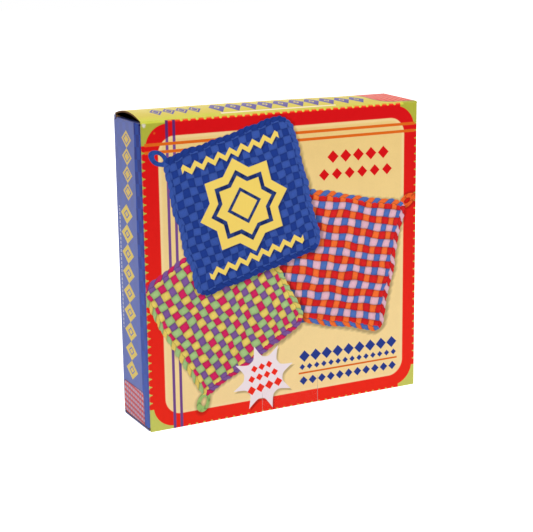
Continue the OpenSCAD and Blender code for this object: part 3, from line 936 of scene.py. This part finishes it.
def lid_art(g):
    """Yellow running to lime at the front, with a purple chain, a pale line and a check at the right."""
    x, y = across_front(g), behind_front(g)
    cloud = g.noise(g.scaled, 0.12, 3.0)
    limes = g.ramp(y + cloud * 4.0, 11.0, 2.0) * (1.0 - g.ramp(x, *LID_LIME_FADE) * 0.55)
    colour = g.scale_by(g.tint(limes, YELLOW_LID, LIME_LID), 0.95 + cloud * 0.1)
    for links in LID_CHAINS:
        colour = chain(g, colour, x, y, *links)
    line = near_line(g, y, LID_LINE, 0.9, 0.3) * in_range(g, x, *LID_LINE_ENDS)
    colour = g.tint(line, colour, RULE_WHITE)
    patch_edge = patch(g, x, y, LID_PATCH)
    colour = g.tint(g.inside(patch_edge), colour, gingham(g, x, y, LID_CHECK_PITCH, LID_CHECK))
    seam = g.inside(g.abs(patch_edge) - 0.7) * g.above(LID_SEAM_TO, y)
    colour = g.tint(seam * 0.85, colour, LID_SEAM)
    colour = g.tint(g.above(x, LIME_FROM_X) * g.ramp(y, 3.6, 2.6), colour, LIME)
    dashes = g.inside(top_dashes(g, x, y - MITRE))
    # The lid's red dashes take the crease red with its painted highlight
    return g.tint(dashes, colour, RED_CREASE_HIGHLIGHT)


def back_art(g):
    """The same border, seen from behind, round one woven square."""
    x, y = FRONT_W / 2 - g.x * PRINT_SCALE, down_front(g)
    colour = border(g, x, y)
    u, v, d = pad_frame(g, x, y, PAD_BACK)[:3]
    warp, iu, iv, shade = weave_cells(g, u, v, -d)
    cloth = knitted(g, iu, iv, striped(g, warp, iu, iv, MULTI_STRANDS), shade)
    colour = g.scale_by(colour, 1.0 - g.ramp(leaning(d, u, v), 2.0, -0.3) * 0.5)
    colour = g.tint(g.inside(d), colour, cloth)
    return g.tint(g.ramp(g.abs(g.x), FRONT_W / 2 - 2.0, FRONT_W / 2 - 1.6), colour, VEIL)


def flap_art(g):
    """The sides' blue ground, which runs on over the dust flaps."""
    fibre = g.noise(g.scaled, 0.8, 3.0, 0.6)
    return g.scale_by(g.tint(0.35, SIDE_DARK, VEIL), 0.8 + fibre * 0.4)


def base_art(g):
    """The lid's yellow and lime, plain."""
    cloud = g.noise(g.scaled, 0.12, 3.0)
    limes = g.ramp(g.y + cloud * 6.0, -4.0, -18.0)
    return g.scale_by(g.tint(limes, YELLOW_LID, LIME_LID), 0.93 + cloud * 0.1)


def kraft_colour(g):
    """Brown kraft paper: long faint fibres, flecks and cloudy tone."""
    fibres = g.noise(g.join(g.x * 0.35, g.y * 1.5, g.z * 1.1), 1.3, 4.0, 0.7)
    clouds = g.noise(g.scaled, 0.05, 3.0)
    fleck = g.ramp(g.noise(g.scaled, 1.9, 1.0), 0.67, 0.74)
    tone = g.scale_by(g.tint(clouds, KRAFT, KRAFT_PALE), 0.86 + fibres * 0.26)
    return g.tint(fleck * 0.4, tone, KRAFT_FLECK)


def flute_colour(g, along, across):
    """The cut edge of fluted board: two liners and the wave between them, with painted shade in the
    hollows.
    """
    wave = g.sin(along * (2 * math.pi / FLUTE_PITCH)) * 0.34 + 0.6
    line = g.inside(g.abs(across - wave) - 0.1, 0.08)
    liners = g.max(g.ramp(across, 0.3, 0.14), g.ramp(across, 0.9, 1.06))
    grain = g.noise(g.scaled, 2.0, 2.0)
    return g.scale_by(g.tint(g.max(line, liners), FLUTE_HOLLOW_SHADE, FLUTE_PALE), 0.85 + grain * 0.25)


def board(name, art, outer, edge, along, across, inked_edge=None):
    """Fluted board with raw edges, printed on its outer side unless art is None.

    Art, outer, edge, along and across are functions of the graph.
    """
    g = Graph(name, Specular_IOR_Level=0.06)
    colour = kraft_colour(g)
    if art is None:
        g.roughness(KRAFT_ROUGHNESS)
    else:
        is_outer = outer(g)
        printed = art(g)
        # The rounded creases turn pale in patches: partly rubbed wear, partly a painted highlight along
        # them
        rounded = 1.0 - g.max(g.abs(g.nx), g.max(g.abs(g.ny), g.abs(g.nz)))
        scuff = g.noise(g.scaled, 0.35, 5.0, 0.75)
        rubbed_and_highlight = g.ramp(rounded, 0.05, 0.25) * g.ramp(scuff, 0.46, 0.66) * 0.3
        printed = g.tint(rubbed_and_highlight, printed, WORN_PAPER_HIGHLIGHT)
        colour = g.tint(is_outer, colour, printed)
        print_roughness = PRINT_ROUGHNESS + g.noise(g.scaled, 0.2, 3.0) * 0.12
        g.roughness(g.mix(is_outer, KRAFT_ROUGHNESS, print_roughness))
    cut = flute_colour(g, along(g), across(g))
    if inked_edge is not None:
        cut = g.tint(0.8, cut, inked_edge)
    g.colour(g.tint(edge(g), colour, cut))
    ribs = g.sin((g.x + g.y) * (2 * math.pi / FLUTE_PITCH)) * 0.3
    swell = g.noise(g.scaled, 0.03, 2.0) * 3.0
    paper = g.noise(g.scaled, 2.4, 3.0, 0.6) * 0.35
    g.bump(ribs + swell + paper, 0.00005, 0.6)
    return g.material


def solids_of(node):
    """Lowest and highest corner of each separate solid in a CAD node."""
    shape = bmesh.new()
    shape.from_mesh(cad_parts[node].data)
    bmesh.ops.remove_doubles(shape, verts=shape.verts, dist=WELD)
    seen = set()
    boxes = []
    for first in shape.verts:
        if first in seen:
            continue
        seen.add(first)
        waiting = [first]
        points = []
        while waiting:
            vert = waiting.pop()
            points.append(vert.co.copy())
            for edge in vert.link_edges:
                other = edge.other_vert(vert)
                if other not in seen:
                    seen.add(other)
                    waiting.append(other)
        lo = Vector([min(p[i] for p in points) for i in range(3)])
        hi = Vector([max(p[i] for p in points) for i in range(3)])
        boxes.append((lo, hi))
    shape.free()
    return boxes


def add_piece(name, verts, faces, material):
    """A smooth mesh object with one material."""
    mesh = bpy.data.meshes.new(name)
    mesh.from_pydata(verts, [], faces)
    mesh.update()
    mesh.polygons.foreach_set("use_smooth", [True] * len(mesh.polygons))
    mesh.materials.append(material)
    piece = bpy.data.objects.new(name, mesh)
    bpy.context.scene.collection.objects.link(piece)
    return piece


def loop_ring(lo, hi):
    """Points and faces of one soft cotton ring that fills the box from lo to hi."""
    strand = (hi.y - lo.y) / 2
    half = (hi.x - lo.x) / 2 - strand
    centre = (lo + hi) / 2
    straight = (hi.z - lo.z) / 2 - half - strand
    line = []
    for i in range(LOOP_STRAIGHT_STEPS):
        t = i / LOOP_STRAIGHT_STEPS
        line.append((half, straight * (2 * t - 1)))
    for i in range(LOOP_ARC_STEPS):
        a = math.pi * i / LOOP_ARC_STEPS
        line.append((half * math.cos(a), straight + half * math.sin(a)))
    line += [(-x, -z) for x, z in line]
    phase = random.uniform(0, 2 * math.pi)
    sway = random.uniform(0.4, 1.0) * LOOP_WANDER
    verts = []
    count = len(line)
    travelled = 0.0
    for i, (x, z) in enumerate(line):
        ahead = Vector(line[(i + 1) % count])
        behind = Vector(line[i - 1])
        along = (ahead - behind).normalized()
        travelled += (Vector((x, z)) - behind).length
        drift = sway * math.sin(WANDER_TURNS * 2 * math.pi * z / (straight + half) + phase)
        swell = 1 + KNIT_SWELL * math.sin(2 * math.pi * travelled / (3 * KNIT_PITCH) + phase)
        for k in range(LOOP_SIDES):
            a = 2 * math.pi * k / LOOP_SIDES
            out = strand * LOOP_FILL[0] * swell * math.cos(a)
            deep = strand * LOOP_FILL[1] * swell * math.sin(a)
            verts.append((centre.x + x + along.y * out + drift,
                          centre.y + deep,
                          centre.z + z - along.x * out))
    faces = []
    for i in range(count):
        j = (i + 1) % count
        for k in range(LOOP_SIDES):
            m = (k + 1) % LOOP_SIDES
            faces.append((i * LOOP_SIDES + k, j * LOOP_SIDES + k,
                          j * LOOP_SIDES + m, i * LOOP_SIDES + m))
    return verts, faces


def loops(colour, rgb):
    """All the cotton rings of one colour, as one piece in the CAD rings' places."""
    verts, faces = [], []
    node = "loops_" + colour
    for lo, hi in solids_of(node):
        ring_verts, ring_faces = loop_ring(lo, hi)
        start = len(verts)
        verts += ring_verts
        faces += [tuple(start + i for i in face) for face in ring_faces]
    piece = add_piece("cotton_rings_" + colour, verts, faces, cotton("cotton_" + colour, rgb))
    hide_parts(node)
    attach(piece, "carton")


def wall_outer(g):
    """Outer side of the sleeve: the normal points away from the middle."""
    return g.above(g.nx * g.x / (FRONT_W / 2) + g.ny * g.y / HALF_DEPTH, 0.0)


def plain(name, rgb, roughness):
    """One colour of paper with a faint mottle."""
    g = Graph(name, roughness)
    g.colour(g.tint(g.noise(g.scaled, 0.4), rgb, tuple(c * 0.94 for c in rgb)))
    return g.material


def level_edge(g):
    """Raw edges that face up or down."""
    return g.above(g.abs(g.nz), EDGE_NORMAL)


def end_edge(g):
    """Raw edges at the ends of a panel that runs along X."""
    return g.above(g.abs(g.nx), EDGE_NORMAL)


def right_wall_edge(g):
    """Raw edges of the right side, with the one along the rear where the glue flap starts."""
    return g.max(level_edge(g), g.above(g.ny, 0.9) * g.above(g.y, HALF_DEPTH - 1.0))


def tab_edge(g):
    """Raw edges at the tab's ends and along its foot."""
    return g.max(end_edge(g), g.above(-EDGE_NORMAL, g.nz))


def dress_carton():
    """Gives each panel and flap its printed or plain board."""
    half = FRONT_W / 2
    front = board("front_print", front_art, wall_outer, level_edge,
                  lambda g: g.x, lambda g: g.y + HALF_DEPTH)
    back = board("back_print", back_art, wall_outer, level_edge,
                 lambda g: g.x, lambda g: HALF_DEPTH - g.y)
    left = board("left_print", side_art, wall_outer, level_edge,
                 lambda g: g.y, lambda g: g.x + half)
    right = board("right_print", side_art, wall_outer, right_wall_edge,
                  lambda g: g.y + g.z, lambda g: half - g.x)
    lid = board("lid_print", lid_art, lambda g: g.above(g.nz, 0.05), end_edge,
                lambda g: g.y, lambda g: g.z - FRONT_H + BOARD)
    tab = board("tab_print", base_art, lambda g: g.above(g.ny, 0.0), tab_edge,
                lambda g: g.x + g.z, lambda g: g.y - TAB_INNER_Y)
    flap = board("flap_print", flap_art, lambda g: g.above(g.nz, 0.5),
                 lambda g: g.above(0.5, g.abs(g.nz)), lambda g: g.x + g.y, lambda g: g.z - FLAP_UNDER_Z)
    base = board("base_print", base_art, lambda g: g.above(-0.1, g.nz), end_edge,
                 lambda g: g.y, lambda g: g.z, inked_edge=VEIL)
    raw = board("raw_board", None, None, end_edge,
                lambda g: g.y + g.z, lambda g: g.fract(g.x / BOARD) * BOARD)
    for node, material in (
            ("front_panel", front), ("back_panel", back), ("left_side_panel", left),
            ("right_side_panel", right), ("lid_panel", lid), ("tuck_tab", tab),
            ("left_dust_flap", flap), ("right_dust_flap", flap), ("base_panel", base),
            ("glue_flap", raw), ("base_tuck_tab", raw), ("base_left_dust_flap", raw),
            ("base_right_dust_flap", raw)):
        dress(node, material)


def cotton(name, rgb):
    """Soft knitted cotton: heathered colour, fine stitches and a little fuzz."""
    g = Graph(name, 0.92, Sheen_Weight=0.35, Sheen_Roughness=0.45)
    heather = g.noise(g.scaled, 1.4, 4.0, 0.7)
    bend = g.sin(g.x * (2 * math.pi / STITCH_WIDE)) * 2.2
    stitch = g.sin(g.z * (2 * math.pi / STITCH_LONG) + bend)
    shade = 0.84 + stitch * 0.08 + heather * 0.2
    g.colour(g.scale_by(g.tint(heather * 0.35, rgb, COTTON_FUZZ), shade))
    g.bump(stitch * 0.5 + heather * 0.8, 0.0003, 0.8)
    return g.material


def steel(name, rgb, roughness, grain):
    """Bright plated sheet steel with fine drawing marks."""
    g = Graph(name, roughness, Metallic=1.0)
    marks = g.noise(g.join(g.x * grain[0], g.y * grain[1], g.z * grain[2]), 1.5, 3.0, 0.6)
    clouds = g.noise(g.scaled, 0.09, 3.0)
    g.colour(g.scale_by(g.tint(clouds, rgb, tuple(c * 0.92 for c in rgb)), 0.9 + marks * 0.14))
    g.roughness(g.clamp(roughness + (marks - 0.5) * 0.25 + (clouds - 0.5) * 0.15))
    g.bump(marks, 0.00003, 0.5)
    return g.material


def film(name):
    """Clear glossy tape."""
    g = Graph(name, 0.14, Specular_IOR_Level=0.4)
    rim = patch(g, g.x, behind_front(g), TAPE_OUTLINE)
    strength = 0.12 + g.ramp(g.z, *TAPE_FADE) * 0.28
    g.put(g.shader.inputs["Alpha"], g.ramp(g.abs(rim), 0.4, 0.15) * strength + 0.008)
    g.colour(g.tint(g.noise(g.scaled, 0.3), TAPE_WHITE, TAPE_GREY))
    g.bump(g.noise(g.scaled, 0.25, 3.0), 0.00006, 0.5)
    return g.material


def leaflet_paper(name):
    """White uncoated paper with a printed weaving chart."""
    g = Graph(name, 0.75)
    fibres = g.noise(g.scaled, 1.8, 4.0, 0.65)
    paper = g.tint(g.noise(g.scaled, 0.04), PAPER_WHITE, PAPER_GREY)
    paper = g.scale_by(paper, 0.95 + fibres * 0.08)
    frame_line = g.inside(g.abs(patch(g, g.x, g.z, LEAFLET_FRAME)) - 0.35, 0.12)
    area = g.inside(patch(g, g.x, g.z, LEAFLET_AREA))
    warp, _, _, shade = weave_cells(g, g.x, g.z - LEAFLET_AREA[0][1], 9.0)
    colour = g.tint(area, paper, g.scale_by(g.tint(warp, LEAFLET_WEFT, LEAFLET_WARP), shade))
    g.colour(g.tint(frame_line, colour, LEAFLET_LINE))
    g.bump(fibres, 0.00005, 0.5)
    return g.material


def crease_liner(name, centre, size, angles, ends, along_x, material):
    """A thin strip of liner inside a crease."""
    radius, tail = size
    first, last = angles
    turn = 1 if first > last else -1
    path = []
    for i in range(LINER_STEPS + 1):
        a = math.radians(first + (last - first) * i / LINER_STEPS)
        normal = Vector((math.cos(a), math.sin(a)))
        path.append((normal, normal * radius))
    start_dir = Vector((-path[0][0].y, path[0][0].x)) * turn
    end_dir = Vector((path[-1][0].y, -path[-1][0].x)) * turn
    path.insert(0, (path[0][0], path[0][1] + start_dir * tail))
    path.append((path[-1][0], path[-1][1] + end_dir * tail))
    verts, faces = [], []
    for side in (-1, 1):
        for normal, point in path:
            p = Vector(centre) + point + normal * (side * LINER_HALF)
            for k in range(LINER_COLUMNS + 1):
                q = ends[0] + (ends[1] - ends[0]) * k / LINER_COLUMNS
                verts.append((q, p.x, p.y) if along_x else (p.x, q, p.y))
    rows = len(path)
    width = LINER_COLUMNS + 1
    for side in (0, 1):
        base = side * rows * width
        for i in range(rows - 1):
            for k in range(LINER_COLUMNS):
                a = base + i * width + k
                faces.append((a, a + 1, a + width + 1, a + width))
    piece = add_piece(name, verts, faces, material)
    to_row = (lambda p: (0.0, p.x, p.y)) if along_x else (lambda p: (p.x, 0.0, p.y))
    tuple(to_row(Vector(centre) + path[1][1]))
    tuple(to_row(Vector(centre) + path[-2][1]))
    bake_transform(piece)


def inset(first, last, gap):
    """Two ends of a piece, each drawn in by gap."""
    return first + gap, last - gap


def liners():
    """The liners in the creases of the lid, the tab and the two dust flaps."""
    kraft = plain("liner_kraft", KRAFT, KRAFT_ROUGHNESS)
    yellow = plain("liner_yellow", YELLOW_LID, 0.45)
    lid_lo, lid_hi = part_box("lid_panel")
    tab_lo, tab_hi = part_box("tuck_tab")
    flap_lo, flap_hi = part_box("left_dust_flap")
    top = BOX_H - CREASE_R
    crease_liner("lid_crease_liner", (-HALF_D + CREASE_R, top), LID_LINER, (180, 90),
                 inset(lid_lo.x, lid_hi.x, LINER_INSET), True, kraft)
    crease_liner("tuck_crease_liner", (TUCK_Y - CREASE_R, top + LID_LIFT), TUCK_LINER, (90, -7),
                 inset(tab_lo.x, tab_hi.x, TAB_LINER_INSET), True, yellow)
    for sign, side in ((-1, "left"), (1, "right")):
        centre = (sign * (BOX_W / 2 - CREASE_R), flap_hi.z - CREASE_R)
        angles = (180, 90) if sign < 0 else (0, 90)
        crease_liner(side + "_flap_crease_liner", centre, FLAP_LINER, angles,
                     inset(flap_lo.y, flap_hi.y, LINER_INSET), False,
                     kraft)


bpy.context.scene.view_settings.view_transform = "Standard"
camera()
light()
floor()
dress_carton()
plated = steel("plated_steel", RAIL_STEEL, 0.4, (0.2, 2.5, 0.2))
for side in ("top", "bottom", "left", "right"):
    dress("loom_rail_" + side, plated)
dress("loom_rivets", steel("rivet_steel", RIVET_STEEL, 0.4, (1, 1, 1)))
dress("hook", steel("hook_wire", HOOK_STEEL, 0.3, (0.1, 2, 2)))
dress("tape_seal", film("clear_tape"))
dress("leaflet", leaflet_paper("leaflet_paper"))
for loop_colour, loop_rgb in LOOP_COLOURS.items():
    loops(loop_colour, loop_rgb)
liners()
